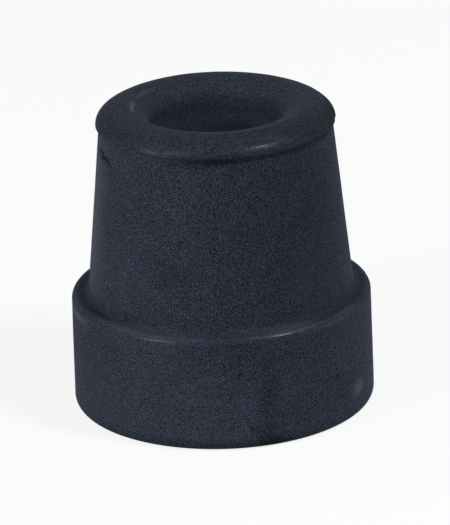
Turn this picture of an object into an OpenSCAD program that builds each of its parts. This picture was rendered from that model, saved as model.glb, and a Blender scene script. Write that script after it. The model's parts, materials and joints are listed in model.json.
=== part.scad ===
// Rubber cane tip: a push-on cup with a tapered neck, a beaded mouth and a broad treaded foot.
// It is moulded in one piece, so the whole tip is a single solid turned about its own axis.
// Units are millimetres. The origin is the middle of the sole, and +Z runs up the socket.

/* [Socket] */
// Outside diameter of the cane tube that the tip is pushed on to
tube_d = 19; // [13:0.5:32]
// How much narrower than the tube the socket is moulded, so that it grips
squeeze = 1; // [0.2:0.1:2]
// Thickness of solid rubber between the end of the tube and the floor
floor_t = 12; // [7:0.5:16]
// Radius where the socket's wall meets its floor
socket_floor_r = 1.2; // [0.4:0.1:2.5]

/* [Mouth and lip] */
// Depth of the rounded lead-in at the mouth of the socket
mouth_depth = 2.6; // [1:0.1:5]
// Width of the lip's domed top, from its crest to its outer edge
lip_w = 3.8; // [2:0.1:6]
// Height of the lip's domed top
lip_rise = 2.4; // [1:0.1:5]
// How far the lip stands out past the neck
lip_overhang = 0.4; // [0.2:0.1:1.5]
// Height of the sloped underside that tucks the lip into the neck
lip_tuck = 0.5; // [0.3:0.1:2]

/* [Neck] */
// Height of the whole tip
height = 42.2; // [36:0.2:70]
// Thickness of the rubber wall at the top of the neck
neck_wall = 6.8; // [5.8:0.1:10]
// Slope of the neck's side from upright, in degrees
neck_taper = 5.5; // [1:0.5:10]

/* [Foot] */
// Height of the foot, from the floor to its shoulder
foot_h = 16.2; // [10:0.2:24]
// Width of the shelf between the neck and the foot's outer wall
shoulder_w = 2.3; // [1.6:0.1:5]
// Slope of the foot's outer wall from upright, in degrees
foot_draft = 0.5; // [0:0.5:3]
// Radius of the shoulder's outer edge
shoulder_edge_r = 1; // [0.2:0.1:1.5]
// Radius of the corner between the shoulder and the neck
shoulder_fillet_r = 0.8; // [0.2:0.1:1.4]
// How far the shelf falls towards the neck
shoulder_dish = 0.2; // [0:0.1:0.5]
// Radius of the foot's bottom edge
foot_edge_r = 1.4; // [0.4:0.1:3]

/* [Tread] */
// Width of the outermost flat ring of the sole
tread_rim_w = 2.9; // [1.5:0.1:5]
// Width of each groove of the tread
groove_w = 1.8; // [1:0.1:2.5]
// Depth of each groove of the tread
groove_depth = 1.4; // [0.6:0.1:2.5]
// Smallest spacing from one groove to the next
groove_pitch = 3.6; // [3.2:0.1:6]
// Diameter of the recess in the middle of the sole
recess_d = 10; // [4:0.5:14]
// Depth of the recess in the middle of the sole
recess_depth = 2; // [0.8:0.1:4]

/* [Hidden] */

rubber = [0.17, 0.19, 0.23];
// Number of straight steps that stand for each quarter turn of a rounded corner
arc_steps = 8;
// Length by which a cut runs on past the surface that it opens through
overcut = 1;
// Share of the recess's radius that is lost to its sloped side
recess_slope = 0.08;

socket_r = (tube_d - squeeze) / 2;
neck_top_r = socket_r + neck_wall;
lip_r = neck_top_r + lip_overhang;
crest_r = lip_r - lip_w;
lip_base_z = height - lip_rise;
neck_top_z = lip_base_z - lip_tuck;
neck_foot_z = foot_h - shoulder_dish;
neck_foot_r = neck_top_r + (neck_top_z - neck_foot_z) * tan(neck_taper);
foot_top_r = neck_foot_r + shoulder_w;
foot_r = foot_top_r + foot_h * tan(foot_draft);

sole_r = foot_r - foot_edge_r;
recess_r = recess_d / 2;
tread_span = sole_r - tread_rim_w - recess_r;
groove_count = max(0, floor(tread_span / groove_pitch));
pitch = tread_span / max(1, groove_count);

// Points along part of an ellipse about a centre, from one angle to another
function arc(centre, half_w, half_h, from, to) =
    [for (i = [0 : arc_steps])
        let (a = from + (to - from) * i / arc_steps)
        [centre[0] + half_w * cos(a), centre[1] + half_h * sin(a)]];

// Points along a rounded corner of equal half width and half height
function corner(centre, radius, from, to) = arc(centre, radius, radius, from, to);

// Outside of the tip, from the middle of the sole up to the crest of the lip
module body_outline() {
    polygon(concat(
        [[0, 0]],
        corner([foot_r - foot_edge_r, foot_edge_r], foot_edge_r, -90, 0),
        corner([foot_top_r - shoulder_edge_r, foot_h - shoulder_edge_r], shoulder_edge_r, 0, 90),
        corner([neck_foot_r + shoulder_fillet_r, neck_foot_z + shoulder_fillet_r], shoulder_fillet_r, 270, 180),
        [[neck_top_r, neck_top_z]],
        arc([crest_r, lip_base_z], lip_w, lip_rise, 0, 90),
        [[0, height]]
    ));
}

// Blind socket for the tube, with its rounded floor and its flared mouth
module socket_outline() {
    polygon(concat(
        [[-overcut, floor_t]],
        corner([socket_r - socket_floor_r, floor_t + socket_floor_r], socket_floor_r, -90, 0),
        arc([crest_r, height - mouth_depth], crest_r - socket_r, mouth_depth, 180, 90),
        [[crest_r, height + overcut], [-overcut, height + overcut]]
    ));
}

// Round-bottomed groove of the tread, whose outer side is at radius r
module groove_outline(r) {
    polygon(concat(
        [[r - groove_w, -overcut]],
        arc([r - groove_w / 2, 0], groove_w / 2, groove_depth, 180, 0),
        [[r, -overcut]]
    ));
}

// Shallow recess with a sloped side in the middle of the sole
module recess_outline() {
    polygon([
        [-overcut, -overcut],
        [recess_r, -overcut],
        [recess_r, 0],
        [recess_r * (1 - recess_slope), recess_depth],
        [-overcut, recess_depth]
    ]);
}

module cane_tip() {
    color(rubber)
    rotate_extrude($fn = 144)
    difference() {
        body_outline();
        socket_outline();
        recess_outline();
        for (i = [1 : 1 : groove_count])
            groove_outline(recess_r + i * pitch);
    }
}

cane_tip();
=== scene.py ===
# %% [markdown]
# # A rubber cane tip
# The real object is a push-on rubber cup for the end of a walking cane. It is moulded in one shot
# in a turned mould: a socket for the tube, a domed lip round the mouth, a neck that widens
# downwards, and a broad low foot with a ringed sole. This lesson loads the measured model of it,
# makes a finer skin over that model, and gives the skin the finish of matte black rubber.
# All the work is in metres, but the sizes of the mould are written in millimetres, as on a drawing.

# %% Load the measured model
import json
import math

import bpy
import numpy as np
from mathutils import Matrix, Vector, noise


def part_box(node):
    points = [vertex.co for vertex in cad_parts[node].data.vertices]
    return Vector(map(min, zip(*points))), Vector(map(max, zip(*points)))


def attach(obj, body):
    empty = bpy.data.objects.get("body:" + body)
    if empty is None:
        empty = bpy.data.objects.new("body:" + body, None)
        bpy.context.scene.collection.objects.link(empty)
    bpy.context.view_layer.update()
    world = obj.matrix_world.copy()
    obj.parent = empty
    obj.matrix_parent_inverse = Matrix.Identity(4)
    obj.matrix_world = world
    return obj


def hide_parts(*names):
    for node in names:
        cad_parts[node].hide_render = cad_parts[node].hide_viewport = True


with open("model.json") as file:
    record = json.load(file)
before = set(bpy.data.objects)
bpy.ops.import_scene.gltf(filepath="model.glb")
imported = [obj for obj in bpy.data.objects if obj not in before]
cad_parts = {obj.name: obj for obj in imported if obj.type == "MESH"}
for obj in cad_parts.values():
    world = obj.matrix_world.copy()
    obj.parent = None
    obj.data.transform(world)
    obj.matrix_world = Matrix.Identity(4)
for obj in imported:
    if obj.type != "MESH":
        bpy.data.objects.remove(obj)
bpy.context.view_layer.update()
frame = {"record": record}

MM = 0.001
tip_low, tip_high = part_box("cane_tip")
socket = next(m for m in frame["record"]["mounts"] if m["name"] == "socket")
height = (tip_high.z - tip_low.z) / MM
foot_r = tip_high.x / MM
socket_r = socket["dims"]["r_mm"]
socket_mid_z = socket["pos_m"][2] / MM
socket_wall_low = socket_mid_z - socket["dims"]["length_mm"] / 2
mouth_z = socket_mid_z + socket["dims"]["length_mm"] / 2
print(f"tip: {2 * foot_r:.2f} mm across, {height:.2f} mm high, socket {2 * socket_r:.2f} mm across")

# %% [markdown]
# ## The camera
# The photograph looks down on the tip at about 21 degrees with a long lens, so its circles are
# thin ellipses and its sides hardly converge. The picture is also turned by about two degrees:
# the tip leans a little to the left. A camera on a ball head does the same, so here the camera is
# placed by a distance, an elevation and a roll, and slid sideways until the tip sits where the
# photograph has it. The lens follows from how many pixels one radian takes up. Blender lays the
# sensor along the longer side of the picture, which is its height here.

# %% Place the camera
IMAGE_HEIGHT_PX = 525
SENSOR_MM = 36.0
PIXELS_PER_RADIAN = 5240.5
CAMERA_DISTANCE_MM = 717.5
CAMERA_ELEVATION = 20.64
CAMERA_ROLL = -1.95
SLIDE_RIGHT_MM = 0.63
SLIDE_UP_MM = 18.07


def camera_axes(elevation, roll):
    """The level right and up, and the camera's own right, up and backward, for a view along +Y."""
    e, r = math.radians(elevation), math.radians(roll)
    backward = Vector((0, -math.cos(e), math.sin(e)))
    level_right = Vector((1, 0, 0))
    level_up = backward.cross(level_right)
    right = math.cos(r) * level_right + math.sin(r) * level_up
    up = math.cos(r) * level_up - math.sin(r) * level_right
    return level_right, level_up, right, up, backward


level_right, level_up, right, up, backward = camera_axes(CAMERA_ELEVATION, CAMERA_ROLL)
camera_data = bpy.data.cameras.new("camera")
camera_data.sensor_width = SENSOR_MM
camera_data.lens = SENSOR_MM * PIXELS_PER_RADIAN / IMAGE_HEIGHT_PX
camera = bpy.data.objects.new("camera", camera_data)
bpy.context.scene.collection.objects.link(camera)
place = CAMERA_DISTANCE_MM * backward + SLIDE_RIGHT_MM * level_right + SLIDE_UP_MM * level_up
turn = Matrix((right, up, backward)).transposed().to_4x4()
camera.matrix_world = Matrix.Translation(place * MM) @ turn
bpy.context.scene.camera = camera
print(f"lens: {camera_data.lens:.0f} mm")

# %% [markdown]
# ## The outline of the mould
# A turned mould is drawn as half a section: a line from the middle of the sole, round the outside,
# over the lip and down into the socket. Writing that line as a list of sharp corners, each with
# the radius that the mould maker rounds it to, keeps the drawing short. One helper then rounds the
# corners, and another draws the parts that are stretches of an ellipse.

# %% Helpers for the outline
ARC_STEP_DEG = 7.5


def ellipse_arc(centre_r, centre_z, half_w, half_h, start, end, step=ARC_STEP_DEG):
    """Points along an ellipse, from one angle to another in degrees."""
    steps = max(2, math.ceil(abs(end - start) / step))
    angles = np.radians(np.linspace(start, end, steps + 1))
    return [(centre_r + half_w * math.cos(a), centre_z + half_h * math.sin(a)) for a in angles]


def rounded(corners):
    """Replaces each corner (r, z, radius) by an arc that touches both of its sides."""
    points = []
    for i, (r, z, radius) in enumerate(corners):
        if radius == 0:
            points.append((r, z))
            continue
        here = np.array((r, z))
        to_last = np.array(corners[i - 1][:2]) - here
        to_next = np.array(corners[i + 1][:2]) - here
        to_last /= np.linalg.norm(to_last)
        to_next /= np.linalg.norm(to_next)
        half = math.acos(np.clip(to_last @ to_next, -1, 1)) / 2
        reach = radius / math.tan(half)
        inward = (to_last + to_next) / np.linalg.norm(to_last + to_next)
        middle = here + inward * radius / math.sin(half)
        spoke_a = here + to_last * reach - middle
        spoke_b = here + to_next * reach - middle
        steps = max(2, math.ceil((180 - 2 * math.degrees(half)) / ARC_STEP_DEG))
        for k in range(steps + 1):
            spoke = spoke_a + (spoke_b - spoke_a) * k / steps
            points.append(tuple(middle + spoke / np.linalg.norm(spoke) * radius))
    return points


# %% [markdown]
# The sizes are those of the measured model, so that the skin lies on it. The last two are the
# skin's own: the rounded edges of the tread, and the soft crease under the lip.

# %% Sizes of the mould, in millimetres
neck_wall = 6.8
lip_overhang = 0.4
lip_w = 3.8
lip_rise = 2.4
lip_tuck = 0.5
neck_taper = 5.5
foot_h = 16.2
foot_draft = 0.5
shoulder_dish = 0.2
shoulder_edge_r = 1.0
shoulder_fillet_r = 0.8
foot_edge_r = 1.4
socket_floor_r = 1.2
tread_rim_w = 2.9
groove_w = 1.8
groove_depth = 1.4
groove_count = 3
recess_r = 5.0
recess_depth = 2.0
recess_slope = 0.08
tread_corner_r = 0.2
crease_r = 0.25

neck_top_r = socket_r + neck_wall
lip_r = neck_top_r + lip_overhang
crest_r = lip_r - lip_w
lip_base_z = height - lip_rise
neck_top_z = lip_base_z - lip_tuck
neck_foot_z = foot_h - shoulder_dish
neck_foot_r = neck_top_r + (neck_top_z - neck_foot_z) * math.tan(math.radians(neck_taper))
foot_top_r = foot_r - foot_h * math.tan(math.radians(foot_draft))
floor_z = socket_wall_low - socket_floor_r
tread_pitch = (foot_r - foot_edge_r - tread_rim_w - recess_r) / groove_count
print(f"lip: {2 * lip_r:.1f} mm across, neck: {2 * neck_top_r:.1f} mm at the top")
print(f"neck: {2 * neck_foot_r:.1f} mm at the bottom, groove spacing: {tread_pitch:.2f} mm")

# %% [markdown]
# The sole is what such tips have underneath: round-bottomed grooves that grip, and a shallow
# recess in the middle. The grooves repeat at one spacing, so a loop draws them.

# %% Draw the outline
GROOVE_STEP_DEG = 18


def tread_corners():
    corners = [
        (0, recess_depth, 0),
        (recess_r * (1 - recess_slope), recess_depth, tread_corner_r),
        (recess_r, 0, tread_corner_r),
    ]
    edge = tread_corner_r / 2
    for i in range(1, groove_count + 1):
        outer = recess_r + i * tread_pitch
        middle = outer - groove_w / 2
        groove = ellipse_arc(middle, edge, groove_w / 2, groove_depth - edge, 180, 0, GROOVE_STEP_DEG)
        corners.append((outer - groove_w - edge, 0, 0))
        corners += [(r, z, 0) for r, z in groove]
        corners.append((outer + edge, 0, 0))
    return corners


def outside_corners():
    return [
        (foot_r, 0, foot_edge_r),
        (foot_top_r, foot_h, shoulder_edge_r),
        (neck_foot_r, neck_foot_z, shoulder_fillet_r),
        (neck_top_r, neck_top_z, crease_r),
    ]


def mouth_points():
    dome = ellipse_arc(crest_r, lip_base_z, lip_w, lip_rise, 0, 90)
    flare = ellipse_arc(crest_r, mouth_z, crest_r - socket_r, height - mouth_z, 90, 180)
    return [(r, z, 0) for r, z in dome + flare[1:]]


def socket_corners():
    return [(socket_r, floor_z, socket_floor_r), (0, floor_z, 0)]


outline = rounded(tread_corners() + outside_corners() + mouth_points() + socket_corners())
print(f"outline: {len(outline)} points")

# %% [markdown]
# ## Turning the outline into a skin
# The Screw modifier could turn the outline, but the marks of real rubber, such as a slit, a nick
# and slight hollows, need a mesh that is fine where they lie. So the outline is first cut into
# short steps, finest round the lip and just below it, and then each of its points becomes a ring
# of vertices. A point within TOUCH_MM of the sole or of the socket's wall counts as on it.

# %% Cut the outline into short steps
SKIN_STEP_MM = 0.5
LIP_STEP_MM = 0.25
FLAT_STEP_MM = 1.2
FINE_FROM_Z = 35.8
TOUCH_MM = 0.01
SAME_POINT_MM = 1e-6


def longest_step(r, z):
    """Longest step that the skin allows at a point of the outline, in millimetres."""
    in_socket = r < socket_r + TOUCH_MM and z > floor_z - TOUCH_MM
    on_sole = z < TOUCH_MM
    if in_socket or on_sole:
        return FLAT_STEP_MM
    return LIP_STEP_MM if r > crest_r and z > FINE_FROM_Z else SKIN_STEP_MM


def cut_up(points):
    fine = [points[0]]
    for (r0, z0), (r1, z1) in zip(points[:-1], points[1:]):
        length = math.hypot(r1 - r0, z1 - z0)
        if length > SAME_POINT_MM:
            pieces = math.ceil(length / longest_step((r0 + r1) / 2, (z0 + z1) / 2))
            shares = [k / pieces for k in range(1, pieces + 1)]
            fine += [(r0 + (r1 - r0) * share, z0 + (z1 - z0) * share) for share in shares]
    return np.array(fine)


rings = cut_up(outline)
ring_r, ring_z = rings[1:-1].T
print(f"skin: {len(ring_r)} rings")

# %% [markdown]
# Round the tip the vertices stand a little over a degree apart, and closer where a mark lies.
# An angle is 0 at the front, where the camera stands, and positive to the camera's right.

# %% Angles round the tip
WIDE_STEP_DEG = 1.3
CLOSE_STEP_DEG = 0.6
SPANS = (
    (-180, -88, WIDE_STEP_DEG),
    (-88, -60, CLOSE_STEP_DEG),
    (-60, -18, WIDE_STEP_DEG),
    (-18, 16, CLOSE_STEP_DEG),
    (16, 84, WIDE_STEP_DEG),
    (84, 92, CLOSE_STEP_DEG),
    (92, 180, WIDE_STEP_DEG),
)
angle = np.concatenate([np.linspace(low, high, round((high - low) / step), endpoint=False)
                        for low, high, step in SPANS])
SEGMENTS = len(angle)
print(f"skin: {SEGMENTS} vertices in each ring")

# %% [markdown]
# Rubber leaves its mould soft, so it isn't perfectly round or smooth: it has shallow hollows a few
# millimetres across, less than a tenth of a millimetre deep. They are what breaks a highlight up
# along an edge. Every hollow goes inwards, so the skin never grows past the measured size. The
# ripples read the noise at another place than the hollows do, so that the two don't coincide.

# %% Depth of the hollows
HOLLOW_MM = 0.05
HOLLOW_SPACING_MM = 6.0
RIPPLE_MM = 0.02
RIPPLE_SPACING_MM = 1.6
RIPPLE_SHIFT = Vector((31.0, 7.0, 0.0))


def hollow(x, y, z):
    """Depth of the hollows at a point of the surface, in millimetres."""
    broad = noise.noise(Vector((x, y, z)) / HOLLOW_SPACING_MM)
    small = noise.noise(Vector((x, y, z)) / RIPPLE_SPACING_MM + RIPPLE_SHIFT)
    return HOLLOW_MM * (0.5 + 0.5 * broad) + RIPPLE_MM * (0.5 + 0.5 * small)


print(f"hollows: up to {HOLLOW_MM + RIPPLE_MM:.2f} mm deep")

# %% [markdown]
# The photograph shows a few marks. Each is an oval that is placed by its angle and its height and
# fades out to its sides, and it may slope. Some are cut into the rubber: a short slit under the
# lip at the left, a nick in the lip's edge at the right, and the fold under the lip, which is
# deepest at the front.

# %% Marks that are cut into the rubber
MARK_FADE = 1.5
CUTS = {
    "slit": {"angle": -70, "half_angle": 10, "z": 36.85, "half_z": 0.4, "slope": -0.06, "depth": 0.8},
    "nick": {"angle": 86, "half_angle": 4, "z": 40.4, "half_z": 0.8, "depth": 0.35},
    "front_fold": {"angle": -5, "half_angle": 23, "z": 39.35, "half_z": 0.45, "depth": 0.2},
    "side_fold": {"angle": 58, "half_angle": 44, "z": 39.35, "half_z": 0.45, "depth": 0.12},
}


def mark_shape(mark, z):
    """1 in the middle of a mark and 0 outside it, at each angle of one ring. MARK_FADE sets how
    steeply it falls to its sides."""
    along = np.clip(np.abs(angle - mark["angle"]) / mark["half_angle"], 0, 1)
    middle = mark["z"] + mark.get("slope", 0) * (angle - mark["angle"])
    across = np.clip(np.abs(z - middle) / mark["half_z"], 0, 1)
    return ((1 - along ** 2) * (1 - across ** 2)) ** MARK_FADE


deepest_cut = max(mark["depth"] for mark in CUTS.values())
print(f"cuts: {len(CUTS)}, up to {deepest_cut:.2f} mm deep")

# %% [markdown]
# The other marks only change the tone. A dark streak down the foot, with a dark patch where it
# meets the floor, a faint dark patch on the neck and a pale scuff low on the foot are marks on the
# rubber, and a paler band lies at the far left just under the shoulder. The rest are painted light
# and shade: painted shade in the slit, the nick and the folds under the lip, under the shoulder's
# edge, in the shoulder's corner at the sides, along the bottom edge, on the foot's sides, on the
# right of the neck and at the sides of the lip; painted light on the lower left and on both edges
# of the neck; and a painted highlight along the glint on the shoulder's edge. Every vertex gets a
# number for them, below 0 for darker and above 0 for paler. Where it goes past -1, the darkening
# is as full as it gets.

# %% Marks that change the tone
TONES = {
    "streak": {"angle": 17.0, "half_angle": 5.5, "z": 8.0, "half_z": 10.0, "tone": -0.31},
    "streak_middle": {"angle": 16.5, "half_angle": 4.0, "z": 7.6, "half_z": 1.8, "tone": -0.2},
    "streak_foot": {"angle": 15.5, "half_angle": 7.0, "z": 2.6, "half_z": 1.6, "tone": -0.33},
    "corner_dirt": {"angle": 18.0, "half_angle": 10.0, "z": 0.8, "half_z": 1.5, "tone": -0.57},
    # Painted shade along the bottom edge, where the foot curves under towards the floor.
    "foot_dirt": {"angle": -6.0, "half_angle": 74.0, "z": 0.4, "half_z": 1.4, "tone": -0.57},
    # Broad painted shade on the foot's left and right sides, evening out how the lamps light them.
    "foot_left": {"angle": -70.0, "half_angle": 45.0, "z": 12.0, "half_z": 8.0, "tone": -0.06},
    "foot_right": {"angle": 46.0, "half_angle": 34.0, "z": 8.0, "half_z": 10.0, "tone": -0.09},
    "low_scuff": {"angle": 62.5, "half_angle": 6.0, "z": 4.2, "half_z": 1.4, "tone": 0.42},
    # A paler band at the far left of the foot, just under the shoulder.
    "left_smudge": {"angle": -72.0, "half_angle": 12.0, "z": 14.6, "half_z": 0.7, "tone": 0.3},
    # Painted shade just under the shoulder's edge at the front.
    "under_shoulder": {"angle": 5.0, "half_angle": 14.0, "z": 14.9, "half_z": 0.9, "tone": -0.41},
    # Painted shade on the shoulder's shelf at the left, in its corner with the neck.
    "shoulder_left": {"angle": -76.0, "half_angle": 42.0, "z": 16.2, "half_z": 0.8, "tone": -0.12},
    # A painted highlight: a pale band along the glint on the right of the shoulder's edge.
    "shoulder_edge": {"angle": 28.0, "half_angle": 26.0, "z": 16.0, "half_z": 0.7, "tone": 0.27},
    # Painted shade on the shoulder's shelf at the right, in its corner with the neck.
    "shoulder_right": {"angle": 76.0, "half_angle": 44.0, "z": 16.2, "half_z": 0.8, "tone": -0.29},
    # Painted light along the left edge of the neck, where light grazes it.
    "neck_dust": {"angle": -84.0, "half_angle": 22.0, "z": 28.0, "half_z": 18.0, "tone": 0.25},
    # A trace of painted light on the lower left of the neck, the side the lamps favour.
    "neck_low_left": {"angle": -50.0, "half_angle": 36.0, "z": 20.0, "half_z": 6.0, "tone": 0.04},
    "neck_patch": {"angle": -21.0, "half_angle": 14.0, "z": 24.0, "half_z": 2.6, "tone": -0.29},
    # Broad painted shade on the right of the neck, the side away from the main lamps.
    "neck_right": {"angle": 30.0, "half_angle": 57.0, "z": 31.0, "half_z": 24.0, "tone": -0.35},
    "neck_far_right": {"angle": 62.0, "half_angle": 44.0, "z": 31.0, "half_z": 15.0, "tone": -0.19},
    # Painted light along the right edge of the neck, where light grazes it.
    "neck_edge": {"angle": 90.0, "half_angle": 18.0, "z": 27.0, "half_z": 16.0, "tone": 0.12},
    # Painted shade inside the slit, darker than its cut alone makes it.
    "slit_dirt": CUTS["slit"] | {"tone": -2.0},
    # Painted shade in the fold under the lip, at the front, to the right and at the far right.
    "front_dirt": {"angle": -4.0, "half_angle": 23.0, "z": 39.5, "half_z": 0.95, "tone": -0.7},
    "side_dirt": {"angle": 40.0, "half_angle": 50.0, "z": 39.5, "half_z": 0.8, "tone": -0.41},
    "fold_right": {"angle": 74.0, "half_angle": 18.0, "z": 39.4, "half_z": 0.6, "tone": -0.66},
    # Painted shade in the nick and under the lip's edge round it.
    "nick_dirt": {"angle": 92.0, "half_angle": 24.0, "z": 40.6, "half_z": 1.3, "tone": -1.9},
    # Painted shade on the outer sides of the lip at the left and right, where it turns away.
    "lip_left": {"angle": -78.0, "half_angle": 45.0, "z": 41.0, "half_z": 1.6, "tone": -0.34},
    "lip_right": {"angle": 76.0, "half_angle": 45.0, "z": 40.8, "half_z": 1.6, "tone": -0.29},
}
print(f"tones: {len(TONES)} marks")

# %% [markdown]
# The tone also changes all round the tip with the place on the outline. The foot is a shade
# paler. The shoulder's shelf gets painted light against the shade in its corner, and the mouth and
# socket get painted light where little of the lamps' light reaches, less of it at the top of the
# socket's wall. The top of the lip gets painted shade.

# %% Painted light and shade all round
ROUND_TONE = {
    "foot": 0.04,
    # Painted light on the shoulder's shelf, against the shade in its corner.
    "shoulder": 0.13,
    # Painted shade on the top of the lip.
    "lip_top": -0.08,
    # Painted light in the mouth's flare and in the socket, where little of the lamps' light reaches.
    "flare": 0.06,
    "socket_top": 0.06,
    "socket": 0.19,
}
SOCKET_TOP_MM = 1.8
SHELF_MARGIN_MM = 0.3


def round_tone(r, z):
    """Change of tone at a point of the outline, all round the tip: painted light and shade, and a
    paler foot.
    """
    if z < floor_z / 2:
        return ROUND_TONE["foot"]
    if r < socket_r + TOUCH_MM:
        return ROUND_TONE["socket_top"] if z > mouth_z - SOCKET_TOP_MM else ROUND_TONE["socket"]
    if r < crest_r:
        up_the_flare = (r - socket_r) / (crest_r - socket_r)
        return ROUND_TONE["flare"] + (ROUND_TONE["lip_top"] - ROUND_TONE["flare"]) * up_the_flare
    if z > lip_base_z:
        return ROUND_TONE["lip_top"] * (z - lip_base_z) / lip_rise
    if z > foot_h + shoulder_fillet_r:
        return 0
    if z > neck_foot_z - SHELF_MARGIN_MM:
        return ROUND_TONE["shoulder"] * min(1, max(0, r - neck_foot_r) / shoulder_fillet_r)
    return ROUND_TONE["foot"]


# %% [markdown]
# The edges that hands and door sills touch are rubbed smoother than the rest, in patches: the edge
# of the shoulder, the outer edge of the lip, and the crest round the mouth. The photograph shows
# the patches that its lamps find. The back gets some of its own, because a tip wears all round.
# They are a number on every vertex too, from 0 for the moulded grain to 1 for a rubbed spot.

# %% Rubbed patches
RUBBED = {
    "shoulder_right": {"angle": 26, "half_angle": 21, "z": 15.9, "half_z": 0.9, "rub": 1.0},
    "shoulder_far_right": {"angle": 48, "half_angle": 22, "z": 15.9, "half_z": 0.9, "rub": 0.6},
    "shoulder_front": {"angle": 3, "half_angle": 22, "z": 15.9, "half_z": 0.7, "rub": 0.6},
    "shoulder_left": {"angle": -25, "half_angle": 15, "z": 15.7, "half_z": 0.8, "rub": 1.0},
    "shoulder_far_left": {"angle": -44, "half_angle": 14, "z": 15.8, "half_z": 0.7, "rub": 0.15},
    "shoulder_back": {"angle": 150, "half_angle": 26, "z": 15.9, "half_z": 0.8, "rub": 0.9},
    "shoulder_back_left": {"angle": -128, "half_angle": 20, "z": 15.9, "half_z": 0.8, "rub": 0.8},
    "lip_right": {"angle": 21, "half_angle": 24, "z": 41.2, "half_z": 0.9, "rub": 0.64},
    "lip_left": {"angle": -33, "half_angle": 7, "z": 40.5, "half_z": 0.7, "rub": 0.68},
    "lip_left_spot": {"angle": -24, "half_angle": 3, "z": 40.5, "half_z": 0.7, "rub": 0.62},
    "lip_left_end": {"angle": -16, "half_angle": 5, "z": 40.5, "half_z": 0.6, "rub": 0.8},
    "lip_back": {"angle": 128, "half_angle": 24, "z": 41.0, "half_z": 0.8, "rub": 0.9},
    "lip_back_left": {"angle": -150, "half_angle": 18, "z": 41.0, "half_z": 0.8, "rub": 0.8},
}
RUBBED_MOUTH = {
    "left": {"angle": -92, "half_angle": 17, "z": 42.0, "half_z": 0.15, "rub": 0.54},
    "back_left": {"angle": -122, "half_angle": 18, "z": 42.0, "half_z": 0.15, "rub": 0.57},
}
print(f"rubbed patches: {len(RUBBED)} outside, {len(RUBBED_MOUTH)} at the mouth")

# %% [markdown]
# Now every vertex can be placed. It starts on its ring and is pushed inwards, square to the
# surface, by the hollows and by any cut that reaches it. On the way it collects its tone and its
# rub. PATCH_GAIN makes the middle of a patch evenly rubbed, so that only its sides fade.

# %% Vertices of the skin
PATCH_GAIN = 1.6


def outward_normals():
    """The outline's own outward direction (r, z) at each ring."""
    tangent = np.gradient(rings, axis=0)[1:-1]
    normal = np.stack([tangent[:, 1], -tangent[:, 0]], 1)
    return normal / np.linalg.norm(normal, axis=1)[:, None]


def skin_vertices():
    """Places of the vertices in metres, ring by ring, with the tone and rub of each."""
    turn_x, turn_y = np.sin(np.radians(angle)), -np.cos(np.radians(angle))
    places, tones, rubs = [], [], []
    for r, z, (normal_r, normal_z) in zip(ring_r, ring_z, outward_normals()):
        outside = r > crest_r
        depth = np.array([hollow(r * x, r * y, z) for x, y in zip(turn_x, turn_y)])
        depth *= min(1, z / foot_edge_r)
        if outside:
            depth += sum(mark["depth"] * mark_shape(mark, z) for mark in CUTS.values())
        skin_r, skin_z = r - depth * normal_r, z - depth * normal_z
        places += list(zip(skin_r * turn_x * MM, skin_r * turn_y * MM, skin_z * MM))
        marks = sum(mark["tone"] * mark_shape(mark, z) for mark in TONES.values())
        tones += list(outside * marks + round_tone(r, z))
        patches = RUBBED if outside else RUBBED_MOUTH
        rub = sum(mark["rub"] * mark_shape(mark, z) for mark in patches.values())
        at_edge = r > foot_top_r - shoulder_edge_r or z > lip_base_z
        rubs += list(np.clip(PATCH_GAIN * rub, 0, 1) * at_edge)
    return places, tones, rubs


# %% [markdown]
# Faces join each ring to the next. A fan of triangles closes the skin in the middle of the sole,
# and another in the middle of the socket's floor, so it is one closed form, as a solid is.

# %% Build the skin
def skin_faces(sole_middle, floor_middle):
    this_way = np.arange(SEGMENTS)
    next_way = (this_way + 1) % SEGMENTS
    faces = []
    for i in range(len(ring_r) - 1):
        low, high = i * SEGMENTS, (i + 1) * SEGMENTS
        band = [low + this_way, low + next_way, high + next_way, high + this_way]
        faces += np.stack(band, 1).tolist()
    last = (len(ring_r) - 1) * SEGMENTS
    faces += [(sole_middle, int(k), int(j)) for j, k in zip(this_way, next_way)]
    faces += [(floor_middle, last + int(j), last + int(k)) for j, k in zip(this_way, next_way)]
    return faces


def build_skin():
    places, tones, rubs = skin_vertices()
    faces = skin_faces(sole_middle=len(places), floor_middle=len(places) + 1)
    places += [(0, 0, rings[0][1] * MM), (0, 0, rings[-1][1] * MM)]
    mesh = bpy.data.meshes.new("cane_tip_skin")
    mesh.from_pydata(places, [], faces)
    for name, values in (("tone", tones), ("rubbed", rubs)):
        mesh.attributes.new(name, "FLOAT", "POINT").data.foreach_set("value", values + [0, 0])
    mesh.shade_smooth()
    return mesh


tip = bpy.data.objects.new("cane_tip_skin", build_skin())
bpy.context.scene.collection.objects.link(tip)
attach(tip, "root")
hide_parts("cane_tip")
print(f"cane_tip_skin: {len(tip.data.vertices)} vertices, {len(tip.data.polygons)} faces")

# %% [markdown]
# ## Helpers for materials
# A colour picked from a screen is in sRGB, but shaders work in linear light, so one function turns
# a hex value into linear. Another adds a node with its settings and links in one line.

# %% Colour and node helpers
def linear(hex_colour):
    """A linear RGBA colour from an sRGB hex value such as #2c333d."""
    channels = [int(hex_colour[i:i + 2], 16) / 255 for i in (1, 3, 5)]
    return [c / 12.92 if c <= 0.04045 else ((c + 0.055) / 1.055) ** 2.4 for c in channels] + [1.0]


def add_node(tree, kind, inputs=None, **settings):
    """Adds a node. inputs maps a socket to a value, or to another node's output to link."""
    node = tree.nodes.new(kind)
    for name, value in settings.items():
        setattr(node, name, value)
    for socket_name, value in (inputs or {}).items():
        if isinstance(value, bpy.types.NodeSocket):
            tree.links.new(value, node.inputs[socket_name])
        else:
            node.inputs[socket_name].default_value = value
    return node


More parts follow.
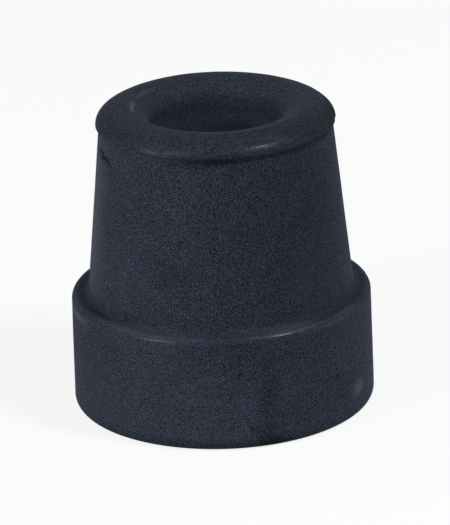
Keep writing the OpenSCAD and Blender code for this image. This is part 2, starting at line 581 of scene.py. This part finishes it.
def new_material(name):
    material = bpy.data.materials.new(name)
    material.use_nodes = True
    material.node_tree.nodes.clear()
    return material, material.node_tree


# %% [markdown]
# ## Moulded black rubber
# The tip is natural rubber filled with carbon black, pressed in a steel mould whose walls were
# blasted to a fine grain. Carbon black makes it nearly black with a cold blue-grey cast. The grain
# spreads each reflection, so lamps show only as soft glints along the edges, where handling has
# rubbed the grain down a little. Rubber's IOR is about 1.52, and its metallic value is 0. The
# specular level is far below its default of 0.5, because soot-filled rubber with a blasted grain
# traps most of the light that glances off it.
# The real grain is about 0.05 mm wide, which is finer than a pixel here. It is drawn three times
# as coarse, so that its speckle shows.

# %% Patterns of the rubber
GRAIN_MM = 0.145
CLOUD_MM = 5.0
WEAR_MM = 0.9
GRAIN_SPAN = {"From Min": 0.38, "From Max": 0.72}
CLOUD_SPAN = {"From Min": 0.3, "From Max": 0.7}
WEAR_SPAN = {"From Min": 0.35, "From Max": 0.6}


def rubber_patterns(tree):
    """Grain, clouds and wear, each a noise of its own size that is fixed to the tip."""
    place = add_node(tree, "ShaderNodeTexCoord").outputs["Object"]
    grain = add_node(tree, "ShaderNodeTexNoise", {
        "Vector": place, "Scale": 1 / (GRAIN_MM * MM), "Detail": 1.0, "Roughness": 0.6})
    cloud = add_node(tree, "ShaderNodeTexNoise", {
        "Vector": place, "Scale": 1 / (CLOUD_MM * MM), "Detail": 3.0, "Roughness": 0.5})
    wear = add_node(tree, "ShaderNodeTexNoise", {
        "Vector": place, "Scale": 1 / (WEAR_MM * MM), "Detail": 2.0, "Roughness": 0.6})
    return grain.outputs["Fac"], cloud.outputs["Fac"], wear.outputs["Fac"]


# %% [markdown]
# The colour runs from the dark pits of the grain to its paler tops, and drifts by a twentieth in
# clouds. Dirt, damp and painted shade darken it: at full strength a fifth of its light is left, and
# the grain still shows through. A scuff, the paler areas and painted light lay a dry grey over it.
# Both are worn a little in small patches, down to LEAST_LEFT of their strength, so that they don't
# look sprayed on.

# %% Colour of the rubber
RUBBER_DARK = "#0c0f14"
RUBBER_LIGHT = "#3c4452"
STAIN_AND_SHADE = "#7c7c7c"
SCUFF_AND_LIGHT = "#5c6470"
CLOUD_SHADE = 0.05
LEAST_LEFT = 0.75


def rubber_colour(tree, speckle, cloud, wear):
    haze = add_node(tree, "ShaderNodeMapRange", {
        "Value": cloud, **CLOUD_SPAN, "To Min": -CLOUD_SHADE, "To Max": CLOUD_SHADE})
    shade = add_node(tree, "ShaderNodeMath", {
        0: speckle, 1: haze.outputs["Result"]}, operation="ADD", use_clamp=True)
    plain = add_node(tree, "ShaderNodeMix", {
        "Factor": shade.outputs[0], "A": linear(RUBBER_DARK), "B": linear(RUBBER_LIGHT)},
        data_type="RGBA")

    patchy = add_node(tree, "ShaderNodeMapRange", {
        "Value": wear, **WEAR_SPAN, "To Min": LEAST_LEFT, "To Max": 1.0}).outputs["Result"]
    tone = add_node(tree, "ShaderNodeAttribute", attribute_name="tone").outputs["Fac"]
    # Below 0 the tone darkens the rubber: real stains, and painted shade in folds, slit, nick and
    # corners and on the shaded side.
    darker = add_node(tree, "ShaderNodeMath", {0: tone, 1: -1.0},
                      operation="MULTIPLY", use_clamp=True)
    stain_and_shade = add_node(tree, "ShaderNodeMath", {0: darker.outputs[0], 1: patchy}, operation="MULTIPLY")
    stained_and_shaded = add_node(tree, "ShaderNodeMix", {
        "Factor": stain_and_shade.outputs[0], "A": plain.outputs["Result"], "B": linear(STAIN_AND_SHADE)},
        data_type="RGBA", blend_type="MULTIPLY")
    # Above 0 it lays grey over it: a real scuff, a paler foot, painted light and a painted highlight.
    scuff_and_light = add_node(tree, "ShaderNodeMath", {0: tone, 1: patchy},
                     operation="MULTIPLY", use_clamp=True)
    scuffed_and_lit = add_node(tree, "ShaderNodeMix", {
        "Factor": scuff_and_light.outputs[0], "A": stained_and_shaded.outputs["Result"], "B": linear(SCUFF_AND_LIGHT)},
        data_type="RGBA")
    return scuffed_and_lit.outputs["Result"]


# %% [markdown]
# The moulded surface is almost fully matt. The tops of the grain are polished a little by
# handling, so they are smoother than the pits, and a rubbed patch is far smoother and flatter.

# %% Roughness and relief of the rubber
MATTE_MIN = 0.92
MATTE_MAX = 1.0
TOPS_SMOOTHER = 0.25
RUBBED_SMOOTHER = 0.65
GRAIN_DEPTH_MM = 0.05
GRAIN_RELIEF = 0.55
RUBBED_FLATTER = 0.45


def rubber_roughness(tree, speckle, cloud, rubbed):
    matte = add_node(tree, "ShaderNodeMapRange", {
        "Value": cloud, **CLOUD_SPAN, "To Min": MATTE_MIN, "To Max": MATTE_MAX})
    moulded = add_node(tree, "ShaderNodeMath", {
        0: speckle, 1: -TOPS_SMOOTHER, 2: matte.outputs["Result"]}, operation="MULTIPLY_ADD")
    return add_node(tree, "ShaderNodeMath", {
        0: rubbed, 1: -RUBBED_SMOOTHER, 2: moulded.outputs[0]}, operation="MULTIPLY_ADD").outputs[0]


def rubber_relief(tree, grain, rubbed):
    relief = add_node(tree, "ShaderNodeMath", {
        0: rubbed, 1: -RUBBED_FLATTER, 2: GRAIN_RELIEF}, operation="MULTIPLY_ADD")
    return add_node(tree, "ShaderNodeBump", {
        "Height": grain, "Strength": relief.outputs[0],
        "Distance": GRAIN_DEPTH_MM * MM}).outputs["Normal"]


# %% [markdown]
# The material brings these together. Its IOR, metallic value and specular level are the same all
# over, so each is set on the shader's own socket.

# %% Rubber material
RUBBER_IOR = 1.52
RUBBER_SPECULAR = 0.07


def make_rubber():
    material, tree = new_material("moulded_black_rubber")
    grain, cloud, wear = rubber_patterns(tree)
    rubbed = add_node(tree, "ShaderNodeAttribute", attribute_name="rubbed").outputs["Fac"]
    speckle = add_node(tree, "ShaderNodeMapRange", {
        "Value": grain, **GRAIN_SPAN, "To Min": 0.0, "To Max": 1.0}).outputs["Result"]
    shader = add_node(tree, "ShaderNodeBsdfPrincipled", {
        "Base Color": rubber_colour(tree, speckle, cloud, wear),
        "Roughness": rubber_roughness(tree, speckle, cloud, rubbed),
        "Normal": rubber_relief(tree, grain, rubbed),
        "IOR": RUBBER_IOR,
        "Metallic": 0.0,
        "Specular IOR Level": RUBBER_SPECULAR}, distribution="GGX")
    add_node(tree, "ShaderNodeOutputMaterial", {"Surface": shader.outputs["BSDF"]})
    return material


tip.data.materials.append(make_rubber())
print(f"rubber: {len(tip.data.materials[0].node_tree.nodes)} nodes, grain {GRAIN_MM} mm")

# %% [markdown]
# ## The studio
# The photograph is a catalogue picture on white. The floor is a white sheet, and the world is white
# to the camera and in reflections, but gives the rubber only a soft fill.

# %% World
FILL_STRENGTH = 0.2
SEEN_STRENGTH = 1.0
WHITE = "#ffffff"


def seen_ray(tree):
    """1 for rays that show a thing, straight, mirrored or through glass, and 0 for others."""
    path = add_node(tree, "ShaderNodeLightPath")
    direct = add_node(tree, "ShaderNodeMath", {
        0: path.outputs["Is Camera Ray"], 1: path.outputs["Is Glossy Ray"]}, operation="MAXIMUM")
    return add_node(tree, "ShaderNodeMath", {
        0: direct.outputs[0], 1: path.outputs["Is Transmission Ray"]}, operation="MAXIMUM").outputs[0]


world = bpy.data.worlds.new("white_studio")
world.use_nodes = True
world_tree = world.node_tree
world_tree.nodes.clear()
fill = add_node(world_tree, "ShaderNodeBackground", {
    "Color": linear(WHITE), "Strength": FILL_STRENGTH})
white = add_node(world_tree, "ShaderNodeBackground", {
    "Color": linear(WHITE), "Strength": SEEN_STRENGTH})
both = add_node(world_tree, "ShaderNodeMixShader", {
    "Fac": seen_ray(world_tree), 1: fill.outputs[0], 2: white.outputs[0]})
add_node(world_tree, "ShaderNodeOutputWorld", {"Surface": both.outputs[0]})
bpy.context.scene.world = world
print(f"world: {FILL_STRENGTH} on the tip, {SEEN_STRENGTH} where it is seen")

# %% [markdown]
# The floor is plain white paper. Where it is seen, most of its white is its own light, and the rest
# is what falls on it, so the shadow of the tip stays and is as pale as in the photograph.

# %% Floor
FLOOR_HALF_M = 1.5
FLOOR_COLOUR = "#fafafa"
FLOOR_GLOW_SHARE = 0.85

floor_mesh = bpy.data.meshes.new("floor")
s = FLOOR_HALF_M
floor_mesh.from_pydata([(-s, -s, 0), (s, -s, 0), (s, s, 0), (-s, s, 0)], [], [(0, 1, 2, 3)])
floor = bpy.data.objects.new("floor", floor_mesh)
bpy.context.scene.collection.objects.link(floor)
paper, paper_tree = new_material("white_paper")
sheet = add_node(paper_tree, "ShaderNodeBsdfDiffuse", {"Color": linear(FLOOR_COLOUR)})
glow = add_node(paper_tree, "ShaderNodeEmission", {
    "Color": linear(WHITE), "Strength": SEEN_STRENGTH})
share = add_node(paper_tree, "ShaderNodeMath", {
    0: seen_ray(paper_tree), 1: FLOOR_GLOW_SHARE}, operation="MULTIPLY")
mixed = add_node(paper_tree, "ShaderNodeMixShader", {
    "Fac": share.outputs[0], 1: sheet.outputs[0], 2: glow.outputs[0]})
add_node(paper_tree, "ShaderNodeOutputMaterial", {"Surface": mixed.outputs[0]})
floor.data.materials.append(paper)
print(f"floor: {2 * FLOOR_HALF_M:.0f} m square")

# %% [markdown]
# Each lamp is a square soft box that looks at the middle of the tip. The large ones shade the
# round sides from left to right. The small ones make the glints, and their directions come from
# the photograph: where the surface's own slope is known, a glint says where its lamp stood. Their
# light is a trace cooler than the others', as the glints in the photograph are.

# %% Lamps
TARGET = Vector((0, 0, height / 2 * MM))
LAMP_DISTANCE_M = 0.9
COOL_WHITE = "#f0f5ff"


def soft_box(name, azimuth, elevation, size, watts, colour=WHITE):
    """azimuth is 0 at the camera's side and positive to its right."""
    a, e = math.radians(azimuth), math.radians(elevation)
    away = Vector((math.sin(a) * math.cos(e), -math.cos(a) * math.cos(e), math.sin(e)))
    data = bpy.data.lights.new(name, "AREA")
    data.shape = "SQUARE"
    data.size = size
    data.energy = watts
    data.color = linear(colour)[:3]
    lamp = bpy.data.objects.new(name, data)
    lamp.location = TARGET + away * LAMP_DISTANCE_M
    lamp.rotation_euler = away.to_track_quat("Z", "Y").to_euler()
    bpy.context.scene.collection.objects.link(lamp)
    print(f"{name}: {watts} W, {size} m across")


soft_box("left_box", azimuth=-57, elevation=12, size=0.35, watts=3.6)
soft_box("front_box", azimuth=-30, elevation=35, size=0.5, watts=1.0)
soft_box("low_right_box", azimuth=90, elevation=8, size=0.3, watts=1.3)
soft_box("low_left_box", azimuth=-90, elevation=8, size=0.3, watts=0.5)
soft_box("right_glint", azimuth=60, elevation=52, size=0.17, watts=4.8, colour=COOL_WHITE)
soft_box("left_glint", azimuth=-45, elevation=19, size=0.1, watts=1.05, colour=COOL_WHITE)

# %% [markdown]
# ## Finish
# The last step keeps the colours as they are written.

# %% Finish
bpy.context.scene.view_settings.view_transform = "Standard"
